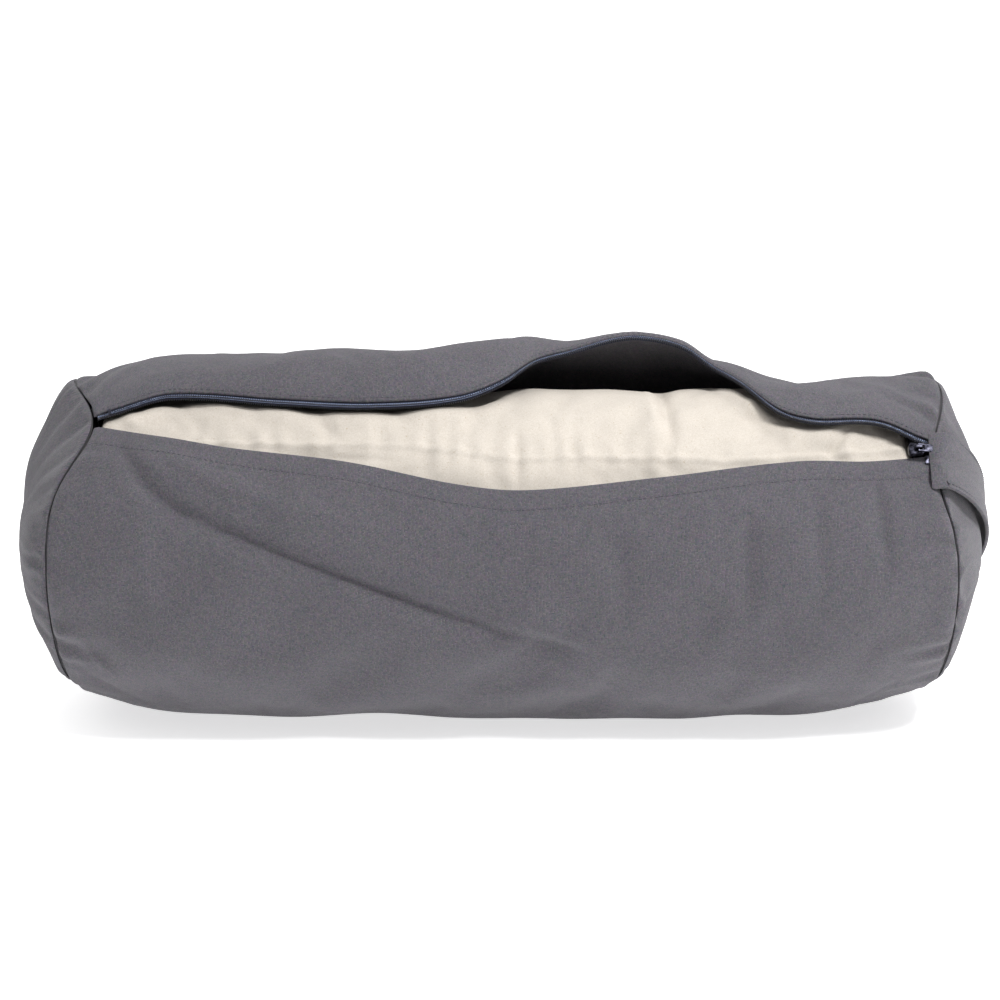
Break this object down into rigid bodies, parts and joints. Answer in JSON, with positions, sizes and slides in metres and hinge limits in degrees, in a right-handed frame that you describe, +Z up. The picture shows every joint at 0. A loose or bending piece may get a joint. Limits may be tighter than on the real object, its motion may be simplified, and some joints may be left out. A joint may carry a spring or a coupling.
{
  "type": "bolster pillow",
  "caption": "Round bolster pillow: a canvas cover with a lapped zip, standing open over a cotton cushion, and a carry strap across one end panel.",
  "frame": {"origin": "on the floor, under the middle of the resting underside", "axes": "+X along the bolster towards the carry strap, -Y towards the zip side, +Z up"},
  "size_m": [0.646, 0.238, 0.2507],
  "materials": {
    "cover_canvas": "matte woven canvas",
    "seam_allowance": "overlocked edge",
    "sewing_thread": "twisted thread",
    "zip_tape": "woven tape",
    "zip_coil": "nylon coil",
    "zip_metal": "gunmetal plated",
    "cushion_cotton": "unbleached cotton",
    "filling": "cotton fibre"
  },
  "bodies": {
    "cushion_and_cover": {"cover_wrap": "cover_canvas", "cover_end_left": "cover_canvas", "cover_end_right": "cover_canvas", "end_seam_left": "seam_allowance", "end_seam_right": "seam_allowance", "zip_tape_upper": "zip_tape", "zip_tape_lower": "zip_tape", "zip_coil_upper": "zip_coil", "zip_coil_lower": "zip_coil", "zip_top_stop_upper": "zip_metal", "zip_top_stop_lower": "zip_metal", "zip_bottom_stop": "zip_metal", "topstitch_lower": "sewing_thread", "topstitch_upper": "sewing_thread", "handle_root_front": "cover_canvas", "handle_root_back": "cover_canvas", "inner_casing": "cushion_cotton", "inner_end_left": "cushion_cotton", "inner_end_right": "cushion_cotton", "inner_long_seam": "cushion_cotton", "filling_core": "filling"},
    "zip_slider": {"zip_slider_body": "zip_metal", "zip_slider_bridge": "zip_metal"},
    "pull_tab": {"zip_pull_tab": "zip_metal"},
    "carry_handle": {"handle_strap": "cover_canvas", "handle_stitch_lower": "sewing_thread", "handle_stitch_upper": "sewing_thread"}
  },
  "joints": [
    {"name": "zip_slider_travel", "type": "slide", "parent": "cushion_and_cover", "child": "zip_slider", "axis": [-0.9984, 0.0443, 0.0351], "range_m": [0, 0.4998]},
    {"name": "pull_tab_swing", "type": "hinge", "parent": "zip_slider", "child": "pull_tab", "pos_m": [0.26217, -0.08481, 0.19523], "axis": [-0.0558, -0.6768, -0.7341], "range_deg": [0, 170]},
    {"name": "handle_swing", "type": "hinge", "parent": "cushion_and_cover", "child": "carry_handle", "pos_m": [0.2745, 0, 0.11955], "axis": [0, -0.7826, 0.6225], "range_deg": [-15, 15]}
  ]
}
